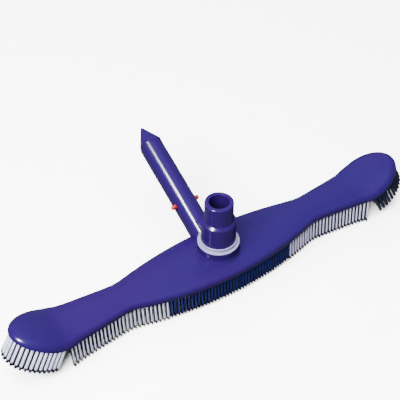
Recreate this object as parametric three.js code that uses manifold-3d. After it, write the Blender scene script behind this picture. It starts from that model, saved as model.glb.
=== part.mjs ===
// Manual vacuum head for a pool or spa.
// Millimetres, +Z up. X runs along the body and the pole handle leans back over +Y.
// The bristle tips stand on the floor, and the hose spigot swivels about an upright axis.
import * as THREE from 'three';
import { mergeVertices } from 'three/addons/utils/BufferGeometryUtils.js';
import Module from 'manifold-3d';

const wasm = await Module();
wasm.setup();

// ---- Driving dimensions ---------------------------------------------------------------
const GAP = 0.3; // clearance left between neighbouring pieces

// Body outline, seen from above
const BODY_HALF_WIDTH = 40.1;
const WAIST_X = 129.1;
const WAIST_HALF_WIDTH = 20;
const WAIST_ROUNDING = 3;
const BEND_X = 213.7; // where the neck turns up into the end paddle
const BEND_ROUNDING = 8;
const NECK_END_HALF_WIDTH = 29.8;
const PADDLE_HALF_WIDTH = 33;
const PADDLE_HALF_LENGTH = 46.2;
const PADDLE_TILT = THREE.MathUtils.degToRad(26);
const PADDLE_REACH = 9.6; // bend to the middle of the paddle, measured along the paddle
const PADDLE_ROUNDING = 1;

// Body shell, seen from the side
const RIM_HEIGHT = 39; // floor to the top edge of the rim, at mid length
const RIM_RISE = 2.9; // the rim climbs this much between mid length and the waists
const BAND_DEPTH = 7.1; // depth of the upright band round the rim
const CROWN_HEIGHT = 7; // the top stands this much above the rim, at mid width
const WALL = 2.4;

// Hose connector and its boss
const BOSS_RADIUS = 24.5;
const BOSS_TOP = 17.6;
const COUNTERBORE_FLOOR = 11.9;
const COUNTERBORE_RADIUS = 22;
const BOSS_BORE = 19.6;
const SPIGOT_BASE = 24.4;
const SPIGOT_SHOULDER = 51.6;
const SHOULDER_RISE = 2.6; // height of the slope between the two hose sizes
const SPIGOT_TOP = 80.2;
const LARGE_SPIGOT_RADIUS = 20.4;
const SMALL_SPIGOT_RADIUS = 16.9;
const SPIGOT_BORE = 11.8;
const RING_RADIUS = 24.8;
const RING_BORE = LARGE_SPIGOT_RADIUS + 0.4;

// Pole handle
const HANDLE_ANGLE = THREE.MathUtils.degToRad(26.1);
const HANDLE_HEIGHT = 3.3; // the ridge line, carried on to the hose axis, above the rim
const HANDLE_RADIUS = 14;
const HANDLE_DEPTH = 21.5; // ridge to the open lower edges
const HANDLE_WALL = 2.8;
const HANDLE_ROOT = 18;
const POLE_STOP = 43; // the pole's end comes to rest here
const STOP_RAISE = 3;
const NOSE_START = 157.7;
const NOSE_END = 183;
const NOSE_RADIUS = 14.2;
const PEG_START = 80;
const PEG_END = 86;
const PEG_DEPTH = 28.4;

// Locking clip inside the handle
const CLIP_HINGE = 125; // distance of the clip's bend along the handle
const ARM_TOP = -9.9;
const ARM_BOTTOM = -18.4;
const ROOT_LENGTH = 10.4;
const PIN_RADIUS = 3;
const BUTTON_AT = 73;
const BUTTON_DEPTH = 13.8;
const BUTTON_RADIUS = 3;
const BUTTON_TIP = 19;
const LEG_INNER = 8.2;
const LEG_THICKNESS = 2;

// Bristles
const TUFT_INSET = 3.1; // outer face of the outer tufts, in from the rim
const ROW_WIDTH = 5.5;
const BLUE_SKIRT_LIFT = 2; // the middle skirt stops short of the floor
const SKIRT_CHANGE_X = 85.9; // blue skirt inside this, white skirt outside
const SKIRT_END_X = BEND_X - 3.5;
const PADDLE_BRISTLE_DEPTH = 36; // rim to the tips under a paddle
const PLATE_TOP = -3.6;
const PLATE_BOTTOM = -6.6;

const BODY_BLUE = 0x3a3390;
const DARK_BLUE = 0x24307a;
const WHITE = 0xe6e2f4;
const NAVY = 0x10152a;
const RED = 0xc83a3c;
const STEEL = 0xb8bcc4;
const BLACK = 0x16161a;

// ---- Solids ---------------------------------------------------------------------------
function toSolid(geometry) {
  const bare = new THREE.BufferGeometry();
  bare.setAttribute('position', geometry.getAttribute('position'));
  bare.setIndex(geometry.index);
  const merged = mergeVertices(bare, 1e-4);
  const corners = merged.index.array;
  const kept = [];
  for (let i = 0; i < corners.length; i += 3) {
    const [a, b, c] = [corners[i], corners[i + 1], corners[i + 2]];
    if (a !== b && b !== c && c !== a) kept.push(a, b, c);
  }
  return new wasm.Manifold(new wasm.Mesh({
    numProp: 3,
    vertProperties: new Float32Array(merged.getAttribute('position').array),
    triVerts: new Uint32Array(kept),
  }));
}

function toGeometry(solid) {
  const mesh = solid.getMesh();
  const geometry = new THREE.BufferGeometry();
  geometry.setAttribute('position', new THREE.BufferAttribute(mesh.vertProperties, 3));
  geometry.setIndex(new THREE.BufferAttribute(mesh.triVerts, 1));
  geometry.computeVertexNormals();
  return geometry;
}

function join(first, ...rest) {
  return rest.reduce((solid, geometry) => solid.add(toSolid(geometry)), first);
}

function cut(first, ...rest) {
  return rest.reduce((solid, geometry) => solid.subtract(toSolid(geometry)), first);
}

// Joins rings of points into one closed skin. Every ring has the same number of points.
function loft(rings) {
  const count = rings[0].length;
  const last = (rings.length - 1) * count;
  const index = [];
  for (let r = 0; r < rings.length - 1; r++) {
    for (let i = 0; i < count; i++) {
      const a = r * count + i;
      const b = r * count + ((i + 1) % count);
      index.push(a, b, a + count, b, b + count, a + count);
    }
  }
  for (let i = 1; i < count - 1; i++) {
    index.push(0, i + 1, i);
    index.push(last, last + i, last + i + 1);
  }
  const geometry = new THREE.BufferGeometry();
  geometry.setAttribute('position', new THREE.Float32BufferAttribute(
    rings.flat().flatMap((point) => point.toArray()), 3));
  geometry.setIndex(index);
  return geometry;
}

// A turned solid standing on +Z. The profile is a list of [radius, height] pairs.
function turned(profile, sides = 32) {
  const points = profile.map(([radius, height]) => new THREE.Vector2(radius, height));
  return new THREE.LatheGeometry(points, sides).rotateX(Math.PI / 2);
}

function cylinder(radius, low, high, sides = 32) {
  return turned([[0, low], [radius, low], [radius, high], [0, high]], sides);
}

// A flat outline in X and Y, given depth from low to high along Z.
function slab(outline, low, high) {
  const shape = new THREE.Shape(outline.map(([x, y]) => new THREE.Vector2(x, y)));
  const geometry = new THREE.ExtrudeGeometry(shape, { depth: high - low, bevelEnabled: false });
  return geometry.translate(0, 0, low);
}

function box(low, high) {
  const size = high.map((value, i) => value - low[i]);
  const middle = high.map((value, i) => (value + low[i]) / 2);
  return new THREE.BoxGeometry(...size).translate(...middle);
}

// ---- Shape of the body ----------------------------------------------------------------
const TAN_TILT = Math.tan(PADDLE_TILT);
const COS_TILT = Math.cos(PADDLE_TILT);
const SAGITTA = BODY_HALF_WIDTH - WAIST_HALF_WIDTH;
const BULGE_RADIUS = (WAIST_X ** 2 + SAGITTA ** 2) / (2 * SAGITTA);
const PADDLE_X = BEND_X + PADDLE_REACH * COS_TILT;

function softMax(a, b, rounding) {
  return (a + b + Math.hypot(a - b, rounding)) / 2;
}

// Height of the rim's top edge above its height at mid length.
function rimHeight(x) {
  const past = x - BEND_X;
  const rise = RIM_RISE * Math.min(1, (x / WAIST_X) ** 2);
  return rise + TAN_TILT * (past + Math.hypot(past, BEND_ROUNDING)) / 2;
}

// How far the body is turned up at a station.
function rimTilt(x) {
  const past = x - BEND_X;
  return Math.atan(TAN_TILT * (1 + past / Math.hypot(past, BEND_ROUNDING)) / 2);
}

// Half width of the body at a station, drawn in by the inset.
function halfWidth(x, inset = 0) {
  const neckSlope = (NECK_END_HALF_WIDTH - WAIST_HALF_WIDTH) / (BEND_X - WAIST_X);
  const neck = WAIST_HALF_WIDTH + (x - WAIST_X) * neckSlope - inset;
  if (x < (WAIST_X + BEND_X) / 2) {
    const bulge = BODY_HALF_WIDTH - BULGE_RADIUS + Math.sqrt(BULGE_RADIUS ** 2 - x ** 2);
    return softMax(bulge - inset, neck, WAIST_ROUNDING);
  }
  const along = (x - PADDLE_X) / COS_TILT;
  const share = along / (PADDLE_HALF_LENGTH - inset);
  const paddle = (PADDLE_HALF_WIDTH - inset) * Math.sqrt(Math.max(0, 1 - share ** 2));
  const rounding = PADDLE_ROUNDING * Math.min(1, -along / PADDLE_REACH);
  return along < 0 ? softMax(neck, paddle, rounding) : paddle;
}

// A point of the body: n is measured upwards from the rim, square to it.
function bodyPoint(x, y, n) {
  const tilt = rimTilt(Math.abs(x));
  const across = Math.abs(x) - n * Math.sin(tilt);
  const up = RIM_HEIGHT + rimHeight(Math.abs(x)) + n * Math.cos(tilt);
  return new THREE.Vector3(Math.sign(x) * across, y, up);
}

function evenly(from, to, count) {
  return Array.from({ length: count }, (_, i) => from + (to - from) * i / count);
}

// Stations that every solid along the body shares, closer together where the outline bends.
const GRID = [
  ...evenly(0, 108, 9), ...evenly(108, 144, 6), ...evenly(144, 189, 3), ...evenly(189, PADDLE_X, 7),
];
const END_ANGLES = [0.22, 0.44, 0.66, 0.88, 1.1, 1.3, 1.5];

// Stations from one x to another, or on round the end of the paddle where no end is given.
function stations(from, to = Infinity, inset = 0) {
  const reach = (PADDLE_HALF_LENGTH - inset) * COS_TILT;
  const arc = END_ANGLES.map((angle) => PADDLE_X + reach * Math.sin(angle));
  const between = [...GRID, PADDLE_X, ...arc].filter((x) => x > from + 1 && x < to - 1);
  return to < Infinity ? [from, ...between, to] : [from, ...between];
}

// A solid that follows the body. The section gives [y, n] pairs, anticlockwise from +X.
function follow(side, xs, section) {
  const rings = xs.map((x) => section(x).map(([y, n]) => bodyPoint(side * x, y, n)));
  if (side < 0) rings.reverse();
  return loft(rings);
}

function bothEnds(xs, section) {
  const along = [...xs.slice(1).reverse().map((x) => -x), ...xs];
  const rings = along.map((x) => section(Math.abs(x)).map(([y, n]) => bodyPoint(x, y, n)));
  return loft(rings);
}

function crownSection(inset, drop, low) {
  const ACROSS = [1, 0.88, 0.65, 0.35, 0, -0.35, -0.65, -0.88, -1];
  return (x) => {
    const w = halfWidth(x, inset);
    const crown = CROWN_HEIGHT * (w / BODY_HALF_WIDTH) ** 0.7;
    const top = ACROSS.map((part) => [part * w, crown * (1 - Math.abs(part) ** 2.2) - drop]);
    return [[-w, low], [w, low], ...top];
  };
}

// A plate or block under the body, reaching the inset from the rim on both sides.
function blockSection(inset, low, high) {
  return (x) => {
    const w = halfWidth(x, inset);
    return [[-w, low], [w, low], [w, high], [-w, high]];
  };
}

// One row of bristles along a long edge, its tips cut level at a height above the floor.
function rowSection(edge, inset, tips) {
  return (x) => {
    const outer = edge * halfWidth(x, inset);
    const inner = edge * halfWidth(x, inset + ROW_WIDTH);
    const [left, right] = [Math.min(outer, inner), Math.max(outer, inner)];
    const low = tips - RIM_HEIGHT - rimHeight(x);
    const high = PLATE_BOTTOM - GAP;
    return [[left, low], [right, low], [right, high], [left, high]];
  };
}

// ---- Model ----------------------------------------------------------------------------
const head = new THREE.Group();

function addPiece(parent, name, geometry, color, roughness = 0.35, metalness = 0) {
  const material = new THREE.MeshStandardMaterial({ color, roughness, metalness });
  const mesh = new THREE.Mesh(geometry, material);
  mesh.name = name;
  parent.add(mesh);
  return mesh;
}

const SIDES = [['left', -1], ['right', 1]];
const EDGES = [['front', -1], ['rear', 1]];

// Screws that hold the plates and the handle. Each stands on its head, shank up.
const SCREW_HEAD_RADIUS = 3.2;
const SCREW_HEAD_HEIGHT = 1.6;
const SHANK_RADIUS = 1.4;
const HOLE_RADIUS = SHANK_RADIUS + GAP;
const POST_RADIUS = 3.6;
const SHANK_LENGTH = 7.5;
const NECK_SCREWS_X = [WAIST_X + 8, BEND_X - 14];
const END_SCREW_X = BEND_X + 1.5;
const SKIRT_SCREWS_X = [-90, -30, 30, 90];
const HANDLE_SCREW = { x: 7, y: 29, foot: -2.7, length: 8.5 };

function screw(length) {
  return turned([
    [0, 0], [SCREW_HEAD_RADIUS, 0], [SCREW_HEAD_RADIUS, SCREW_HEAD_HEIGHT],
    [SHANK_RADIUS, SCREW_HEAD_HEIGHT], [SHANK_RADIUS, SCREW_HEAD_HEIGHT + length],
    [0, SCREW_HEAD_HEIGHT + length],
  ], 8);
}

// Where a screw's head rests under a plate, and how it leans.
function screwSeats() {
  const seats = [];
  for (const [side, sign] of SIDES) {
    NECK_SCREWS_X.forEach((x, i) => seats.push({ name: `neck_screw_${side}_${i + 1}`, x: sign * x, y: 0 }));
    seats.push({ name: `end_screw_${side}`, x: sign * END_SCREW_X, y: 0 });
  }
  for (const [edge, sign] of EDGES) {
    SKIRT_SCREWS_X.forEach((x, i) => {
      const y = sign * halfWidth(Math.abs(x), TUFT_INSET + ROW_WIDTH + POST_RADIUS + GAP);
      seats.push({ name: `skirt_screw_${edge}_${i + 1}`, x, y });
    });
  }
  return seats;
}

// Moves a solid standing on +Z to a point of the body, square to the rim there.
function atSeat(geometry, seat, n) {
  const lean = -Math.sign(seat.x) * rimTilt(Math.abs(seat.x));
  const foot = bodyPoint(seat.x, seat.y, n);
  return geometry.rotateY(lean).translate(foot.x, foot.y, foot.z);
}

const seats = screwSeats();

function bodyBlock(inset, drop, low) {
  return bothEnds(stations(0, Infinity, inset), crownSection(inset, drop, low));
}

function topShell() {
  const outside = bodyBlock(0, 0, -BAND_DEPTH);
  const hollow = bodyBlock(WALL, WALL, -BAND_DEPTH - 1);
  let shell = cut(toSolid(outside), hollow);
  for (const seat of seats) {
    const post = toSolid(atSeat(cylinder(POST_RADIUS, 0, CROWN_HEIGHT + 9, 10), seat, PLATE_TOP + GAP));
    shell = shell.add(post.intersect(toSolid(outside)));
  }
  shell = join(shell, cylinder(BOSS_RADIUS, 3, BOSS_TOP).translate(0, 0, RIM_HEIGHT));
  const bore = cylinder(BOSS_BORE, -BAND_DEPTH - 1, BOSS_TOP + 1);
  const counterbore = cylinder(COUNTERBORE_RADIUS, COUNTERBORE_FLOOR, BOSS_TOP + 1);
  shell = cut(shell, bore.translate(0, 0, RIM_HEIGHT), counterbore.translate(0, 0, RIM_HEIGHT));
  for (const seat of seats) {
    shell = cut(shell, atSeat(cylinder(HOLE_RADIUS, -1, SHANK_LENGTH - 2, 8), seat, PLATE_TOP));
  }
  for (const side of [-1, 1]) {
    const hole = cylinder(HOLE_RADIUS, -BAND_DEPTH, CROWN_HEIGHT, 8);
    shell = cut(shell, hole.translate(side * HANDLE_SCREW.x, HANDLE_SCREW.y, RIM_HEIGHT));
  }
  return toGeometry(shell);
}

addPiece(head, 'top_shell', topShell(), BODY_BLUE, 0.3);

// ---- Pole handle: local Y runs along the handle, local Z is square to its ridge ---------
const handle = new THREE.Group();
handle.position.set(0, 0, RIM_HEIGHT + HANDLE_HEIGHT);
handle.rotation.x = HANDLE_ANGLE;
head.add(handle);
handle.updateMatrixWorld(true);
const intoHandle = handle.matrixWorld.clone().invert();

// A half round top with straight sides, as [x, z] pairs under a ridge at z = 0.
function archOutline(radius, depth) {
  const STEPS = 14;
  const points = [[radius, -depth]];
  for (let i = 0; i <= STEPS; i++) {
    const angle = Math.PI * i / STEPS;
    points.push([radius * Math.cos(angle), radius * Math.sin(angle) - HANDLE_RADIUS]);
  }
  points.push([-radius, -depth]);
  return points;
}

// An outline in X and Z, given length from start to end along Y.
function along(outline, start, end) {
  return slab(outline.map(([x, z]) => [x, -z]), start, end).rotateX(-Math.PI / 2);
}

// An outline in Y and Z, given thickness from left to right along X.
function across(outline, left, right) {
  return slab(outline, left, right).rotateY(Math.PI / 2).rotateX(Math.PI / 2);
}

function handleNose() {
  const nose = turned([
    [0, NOSE_START], [NOSE_RADIUS - 0.6, NOSE_START], [NOSE_RADIUS, NOSE_START + 0.8],
    [NOSE_RADIUS, NOSE_START + 2.2], [2.2, NOSE_END - 0.8], [1.2, NOSE_END], [0, NOSE_END],
  ], 28);
  return nose.rotateX(-Math.PI / 2).translate(0, 0, -HANDLE_RADIUS);
}

// Slot through both walls. A button swings a little down the handle as it goes in.
function buttonSlot() {
  const SWING = 2;
  const radius = BUTTON_RADIUS + 0.5;
  const slot = new THREE.Shape();
  slot.absarc(0, 0, radius, 0, Math.PI);
  slot.absarc(0, -SWING, radius, Math.PI, 2 * Math.PI);
  const outline = slot.getPoints(8).slice(0, -1).map((point) => [point.x, point.y]);
  const through = across(outline, -HANDLE_RADIUS - 2, HANDLE_RADIUS + 2).rotateX(-Math.PI / 2);
  return through.translate(0, BUTTON_AT, -BUTTON_DEPTH);
}

const PIN_AT = CLIP_HINGE + ROOT_LENGTH / 2;
const CEILING = 1 - HANDLE_WALL; // inside the thickness of the channel's top
const ROOT_BLOCK_END = 36; // the channel is solid below this, to take the screws
const SEAT_DEPTH = 20; // the body is cleared out of the handle this far below the rim

function poleHandle() {
  const inner = archOutline(HANDLE_RADIUS - HANDLE_WALL, HANDLE_DEPTH + 5);
  const channel = along(archOutline(HANDLE_RADIUS, HANDLE_DEPTH), HANDLE_ROOT, NOSE_START);
  const stop = along(archOutline(HANDLE_RADIUS, HANDLE_DEPTH - 5), HANDLE_ROOT, POLE_STOP);
  let solid = join(toSolid(channel), stop.translate(0, 0, STOP_RAISE));
  solid = cut(solid, along(inner, ROOT_BLOCK_END, NOSE_START - HANDLE_WALL));
  const peg = box([-2.5, PEG_START, -PEG_DEPTH], [2.5, PEG_END, CEILING]);
  const pin = cylinder(PIN_RADIUS, ARM_BOTTOM, CEILING, 20).translate(0, PIN_AT, 0);
  solid = cut(join(solid, handleNose(), peg, pin), buttonSlot());

  const body = bodyBlock(-GAP, -GAP, -SEAT_DEPTH).applyMatrix4(intoHandle);
  const boss = cylinder(RING_RADIUS + GAP, -SEAT_DEPTH, SPIGOT_SHOULDER);
  solid = cut(solid, body, boss.translate(0, 0, RIM_HEIGHT).applyMatrix4(intoHandle));
  for (const side of [-1, 1]) {
    const pilot = cylinder(HOLE_RADIUS, -BAND_DEPTH, HANDLE_SCREW.length + 2, 8);
    pilot.translate(side * HANDLE_SCREW.x, HANDLE_SCREW.y, RIM_HEIGHT).applyMatrix4(intoHandle);
    solid = cut(solid, pilot);
  }
  return toGeometry(solid);
}

addPiece(handle, 'pole_handle', poleHandle(), BODY_BLUE, 0.3);

for (const [name, sign] of SIDES) {
  const piece = addPiece(head, `handle_screw_${name}`, screw(HANDLE_SCREW.length), STEEL, 0.4, 1);
  piece.position.set(sign * HANDLE_SCREW.x, HANDLE_SCREW.y, RIM_HEIGHT + HANDLE_SCREW.foot);
}

// ---- Locking clip ---------------------------------------------------------------------
function clipLeg(sign) {
  // Seen from above: the leg spreads from the bend, then runs parallel to the channel.
  const bendInner = 0.7;
  const straightFrom = 84;
  const plan = [
    [bendInner, CLIP_HINGE - GAP], [LEG_INNER, straightFrom], [LEG_INNER, 50],
    [LEG_INNER + LEG_THICKNESS, 50], [LEG_INNER + LEG_THICKNESS, straightFrom],
    [bendInner + LEG_THICKNESS + 0.4, CLIP_HINGE - GAP],
  ];
  const arm = slab(plan.reverse(), ARM_BOTTOM, ARM_TOP);
  // Seen from the side: the squeeze wing hangs below the channel and hooks down at its foot.
  const wing = new THREE.Shape();
  wing.moveTo(79, ARM_TOP);
  wing.lineTo(79, -23.2);
  wing.quadraticCurveTo(60, -25, 50, -29);
  wing.lineTo(46.5, -28.6);
  wing.lineTo(45.5, -30.5);
  wing.lineTo(39, -30.5);
  wing.quadraticCurveTo(37.5, -27, 41, -22);
  wing.quadraticCurveTo(50, -16, 62, ARM_TOP);
  const outline = wing.getPoints(5).map((point) => [point.x, point.y]);
  const side = across(outline, LEG_INNER, LEG_INNER + LEG_THICKNESS);
  const button = turned([
    [0, LEG_INNER + 0.5], [BUTTON_RADIUS, LEG_INNER + 0.5], [BUTTON_RADIUS, BUTTON_TIP - 1.2],
    [BUTTON_RADIUS - 1.1, BUTTON_TIP], [0, BUTTON_TIP],
  ], 20);
  button.rotateY(Math.PI / 2).translate(0, BUTTON_AT, -BUTTON_DEPTH);
  const leg = toGeometry(join(toSolid(arm), side, button));
  if (sign > 0) return leg;
  return toGeometry(toSolid(leg).mirror([1, 0, 0]));
}

function clipRoot() {
  const HALF_WIDTH = 7.5;
  const block = box([-HALF_WIDTH, CLIP_HINGE, ARM_BOTTOM], [HALF_WIDTH, CLIP_HINGE + ROOT_LENGTH, ARM_TOP]);
  const eye = cylinder(PIN_RADIUS + GAP, ARM_BOTTOM - 1, ARM_TOP + 1, 20).translate(0, PIN_AT, 0);
  return toGeometry(cut(toSolid(block), eye));
}

for (const [name, sign] of SIDES) addPiece(handle, `clip_leg_${name}`, clipLeg(sign), RED, 0.4);
addPiece(handle, 'clip_root', clipRoot(), RED, 0.4);

// ---- Hose connector, turned about its upright axis --------------------------------------
const FLANGE_LOW = 13.1;
const FLANGE_HIGH = 16;
const FLANGE_RADIUS = 21.6;
const TUBE_RADIUS = 18.9;
const GROOVE_LOW = 6;
const GROOVE_HIGH = 9;
const GROOVE_RADIUS = 16.8;
const CONNECTOR_FOOT = 1.5;
const TUBE_BORE = 14.6;

const connector = turned([
  [SPIGOT_BORE, SPIGOT_SHOULDER], [SPIGOT_BORE, SPIGOT_TOP - 0.8], [SPIGOT_BORE + 0.8, SPIGOT_TOP],
  [SMALL_SPIGOT_RADIUS - 1.2, SPIGOT_TOP], [SMALL_SPIGOT_RADIUS - 0.35, SPIGOT_TOP - 0.4],
  [SMALL_SPIGOT_RADIUS, SPIGOT_TOP - 1.3], [SMALL_SPIGOT_RADIUS, SPIGOT_SHOULDER + SHOULDER_RISE],
  [LARGE_SPIGOT_RADIUS - 0.7, SPIGOT_SHOULDER], [LARGE_SPIGOT_RADIUS, SPIGOT_SHOULDER - 1.4],
  [LARGE_SPIGOT_RADIUS, FLANGE_HIGH], [FLANGE_RADIUS, FLANGE_HIGH], [FLANGE_RADIUS, FLANGE_LOW],
  [TUBE_RADIUS, FLANGE_LOW], [TUBE_RADIUS, GROOVE_HIGH], [GROOVE_RADIUS, GROOVE_HIGH],
  [GROOVE_RADIUS, GROOVE_LOW], [TUBE_RADIUS, GROOVE_LOW], [TUBE_RADIUS, CONNECTOR_FOOT],
  [TUBE_BORE, CONNECTOR_FOOT], [TUBE_BORE, SPIGOT_SHOULDER - 4], [SPIGOT_BORE, SPIGOT_SHOULDER],
].reverse(), 32);
addPiece(head, 'hose_connector', connector, BODY_BLUE, 0.3).position.z = RIM_HEIGHT;

// The ring has a bead at its top, a hollow below the bead, and a lip that rests on the boss.
const LIP_FOOT = FLANGE_HIGH + GAP;
const BEAD_RADIUS = 22.5;
const HOLLOW_RADIUS = 21.7;
const ring = turned([
  [RING_BORE, LIP_FOOT], [RING_BORE, SPIGOT_BASE], [BEAD_RADIUS - 0.5, SPIGOT_BASE],
  [BEAD_RADIUS, SPIGOT_BASE - 0.8], [HOLLOW_RADIUS, SPIGOT_BASE - 2], [HOLLOW_RADIUS, BOSS_TOP + 3],
  [BEAD_RADIUS, BOSS_TOP + 2], [RING_RADIUS - 0.5, BOSS_TOP + 1.4], [RING_RADIUS, BOSS_TOP + GAP],
  [COUNTERBORE_RADIUS - GAP, BOSS_TOP + GAP], [COUNTERBORE_RADIUS - GAP, LIP_FOOT],
  [RING_BORE, LIP_FOOT],
].reverse(), 32);
addPiece(head, 'retaining_ring', ring, WHITE, 0.4).position.z = RIM_HEIGHT;

const WASHER_INNER = BOSS_BORE + 0.2;
const washer = turned([
  [WASHER_INNER, COUNTERBORE_FLOOR + GAP], [WASHER_INNER, FLANGE_LOW - GAP],
  [FLANGE_RADIUS, FLANGE_LOW - GAP], [FLANGE_RADIUS, COUNTERBORE_FLOOR + GAP],
  [WASHER_INNER, COUNTERBORE_FLOOR + GAP],
].reverse(), 32);
addPiece(head, 'swivel_washer', washer, WHITE, 0.5).position.z = RIM_HEIGHT;

const seal = new THREE.TorusGeometry((GROOVE_RADIUS + BOSS_BORE) / 2, 1, 8, 28);
const sealPiece = addPiece(head, 'seal_ring', seal, BLACK, 0.8);
sealPiece.position.z = RIM_HEIGHT + (GROOVE_LOW + GROOVE_HIGH) / 2;

// ---- Brush plates ---------------------------------------------------------------------
const PLATE_INSET = WALL + 2 * GAP;
const SKIRT_HOLDER_END = WAIST_X - 6.5;
const NECK_PLATE_START = WAIST_X + 2.5;
const NECK_PLATE_END = BEND_X - 4.2;
const END_PLATE_START = BEND_X - 3.2;

function drilled(geometry) {
  let solid = toSolid(geometry);
  for (const seat of seats) {
    solid = cut(solid, atSeat(cylinder(HOLE_RADIUS, -2, 6, 8), seat, PLATE_BOTTOM));
  }
  return toGeometry(solid);
}

for (const [side, sign] of SIDES) {
  const section = blockSection(PLATE_INSET, PLATE_BOTTOM, PLATE_TOP);
  const neck = follow(sign, stations(NECK_PLATE_START, NECK_PLATE_END), section);
  addPiece(head, `neck_brush_plate_${side}`, drilled(neck), DARK_BLUE);
  const end = follow(sign, stations(END_PLATE_START, Infinity, PLATE_INSET), section);
  addPiece(head, `end_brush_plate_${side}`, drilled(end), DARK_BLUE);
}

for (const [edge, sign] of EDGES) {
  const section = (x) => {
    const outer = sign * halfWidth(x, PLATE_INSET);
    const inner = sign * halfWidth(x, PLATE_INSET + ROW_WIDTH + 2 * POST_RADIUS + GAP);
    const [low, high] = [Math.min(outer, inner), Math.max(outer, inner)];
    return [[low, PLATE_BOTTOM], [high, PLATE_BOTTOM], [high, PLATE_TOP], [low, PLATE_TOP]];
  };
  const geometry = bothEnds(stations(0, SKIRT_HOLDER_END), section);
  addPiece(head, `skirt_holder_${edge}`, drilled(geometry), DARK_BLUE);
}

for (const seat of seats) {
  const piece = addPiece(head, seat.name, screw(SHANK_LENGTH), STEEL, 0.4, 1);
  piece.position.copy(bodyPoint(seat.x, seat.y, PLATE_BOTTOM - GAP - SCREW_HEAD_HEIGHT));
  piece.rotation.y = -Math.sign(seat.x) * rimTilt(Math.abs(seat.x));
}

// ---- Bristles, as solid blocks of the space that the tufts fill --------------------------
for (const [edge, edgeSign] of EDGES) {
  const middle = bothEnds(
    stations(0, SKIRT_CHANGE_X - GAP),
    rowSection(edgeSign, TUFT_INSET, BLUE_SKIRT_LIFT));
  addPiece(head, `middle_skirt_${edge}`, middle, DARK_BLUE, 0.6);
  for (const [side, sign] of SIDES) {
    const xs = stations(SKIRT_CHANGE_X, SKIRT_END_X);
    const row = follow(sign, xs, rowSection(edgeSign, TUFT_INSET, 0));
    addPiece(head, `white_skirt_${edge}_${side}`, row, WHITE, 0.6);
  }
}

const CORE_GAP = 1; // between the outer rows and the infill
const CORE_LIFT = 1; // the infill is this much shorter than the outer rows
const NECK_CORE_START = WAIST_X + 12.5;
const PADDLE_START = BEND_X + 6.5;
for (const [side, sign] of SIDES) {
  const inset = TUFT_INSET + ROW_WIDTH + CORE_GAP;
  const block = follow(sign, stations(NECK_CORE_START, SKIRT_END_X), (x) => {
    const w = halfWidth(x, inset);
    const low = CORE_LIFT - RIM_HEIGHT - rimHeight(x);
    return [[-w, low], [w, low], [w, PLATE_BOTTOM - GAP], [-w, PLATE_BOTTOM - GAP]];
  });
  // A round gap in the tufts lets a driver reach the outer screw.
  const driver = cylinder(SCREW_HEAD_RADIUS + GAP, -RIM_HEIGHT, 0, 16);
  const seat = { x: sign * NECK_SCREWS_X[1], y: 0 };
  const core = cut(toSolid(block), atSeat(driver, seat, PLATE_BOTTOM + GAP));
  addPiece(head, `neck_core_bristles_${side}`, toGeometry(core), DARK_BLUE, 0.6);

  const [low, high] = [-PADDLE_BRISTLE_DEPTH, PLATE_BOTTOM - GAP];
  const outerXs = stations(PADDLE_START, Infinity, TUFT_INSET);
  const innerXs = stations(PADDLE_START - 1, Infinity, TUFT_INSET + ROW_WIDTH);
  const outer = follow(sign, outerXs, blockSection(TUFT_INSET, low, high));
  const hollow = follow(sign, innerXs, blockSection(TUFT_INSET + ROW_WIDTH, low - 1, high + 1));
  const rim = toGeometry(cut(toSolid(outer), hollow));
  addPiece(head, `end_rim_bristles_${side}`, rim, sign < 0 ? WHITE : NAVY, 0.6);

  const coreXs = stations(PADDLE_START, Infinity, inset);
  const endCore = follow(sign, coreXs, blockSection(inset, low + CORE_LIFT, high));
  addPiece(head, `end_core_bristles_${side}`, endCore, sign < 0 ? DARK_BLUE : NAVY, 0.6);
}

// The origin is the middle of the whole part, on the floor.
const group = new THREE.Group();
group.add(head);
head.updateMatrixWorld(true);
const bounds = new THREE.Box3().setFromObject(head, true);
const middle = bounds.getCenter(new THREE.Vector3());
head.position.set(-middle.x, -middle.y, -bounds.min.z);

export default group;
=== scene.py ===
"""A manual pool vacuum head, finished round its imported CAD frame. Metres, +Z up.

X runs along the body, the pole handle leans back over +Y, and the bristle tips stand on
z = 0. Bristles, shell, handle, connector, ring, clip and screws are modelled here. Brush
plates, skirt holders, seal and washer are the CAD nodes with a finished material.
"""

import math
import random

import bmesh
import bpy
from mathutils import Matrix, Vector


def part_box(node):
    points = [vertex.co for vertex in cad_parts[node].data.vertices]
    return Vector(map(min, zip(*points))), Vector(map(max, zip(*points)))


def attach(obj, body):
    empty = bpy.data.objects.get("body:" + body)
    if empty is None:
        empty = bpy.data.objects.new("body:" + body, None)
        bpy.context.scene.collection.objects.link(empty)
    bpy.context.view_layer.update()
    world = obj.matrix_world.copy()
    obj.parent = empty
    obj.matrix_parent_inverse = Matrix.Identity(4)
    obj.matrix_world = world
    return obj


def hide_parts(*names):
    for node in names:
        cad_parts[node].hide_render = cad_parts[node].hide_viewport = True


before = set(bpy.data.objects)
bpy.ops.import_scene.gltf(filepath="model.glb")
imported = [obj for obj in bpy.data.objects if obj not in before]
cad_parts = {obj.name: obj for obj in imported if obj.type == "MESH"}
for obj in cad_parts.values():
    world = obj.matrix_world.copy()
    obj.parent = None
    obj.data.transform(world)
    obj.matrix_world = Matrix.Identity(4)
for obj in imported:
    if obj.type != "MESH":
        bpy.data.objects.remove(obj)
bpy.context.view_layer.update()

MM = 0.001
SIDES = (("left", -1), ("right", 1))
EDGES = (("front", -1), ("rear", 1))

# ---- Sizes, the same as the frame's ------------------------------------------------------
CONNECTOR_LOW, CONNECTOR_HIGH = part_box("hose_connector")
HOSE_Y = (CONNECTOR_LOW.y + CONNECTOR_HIGH.y) / 2

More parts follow.
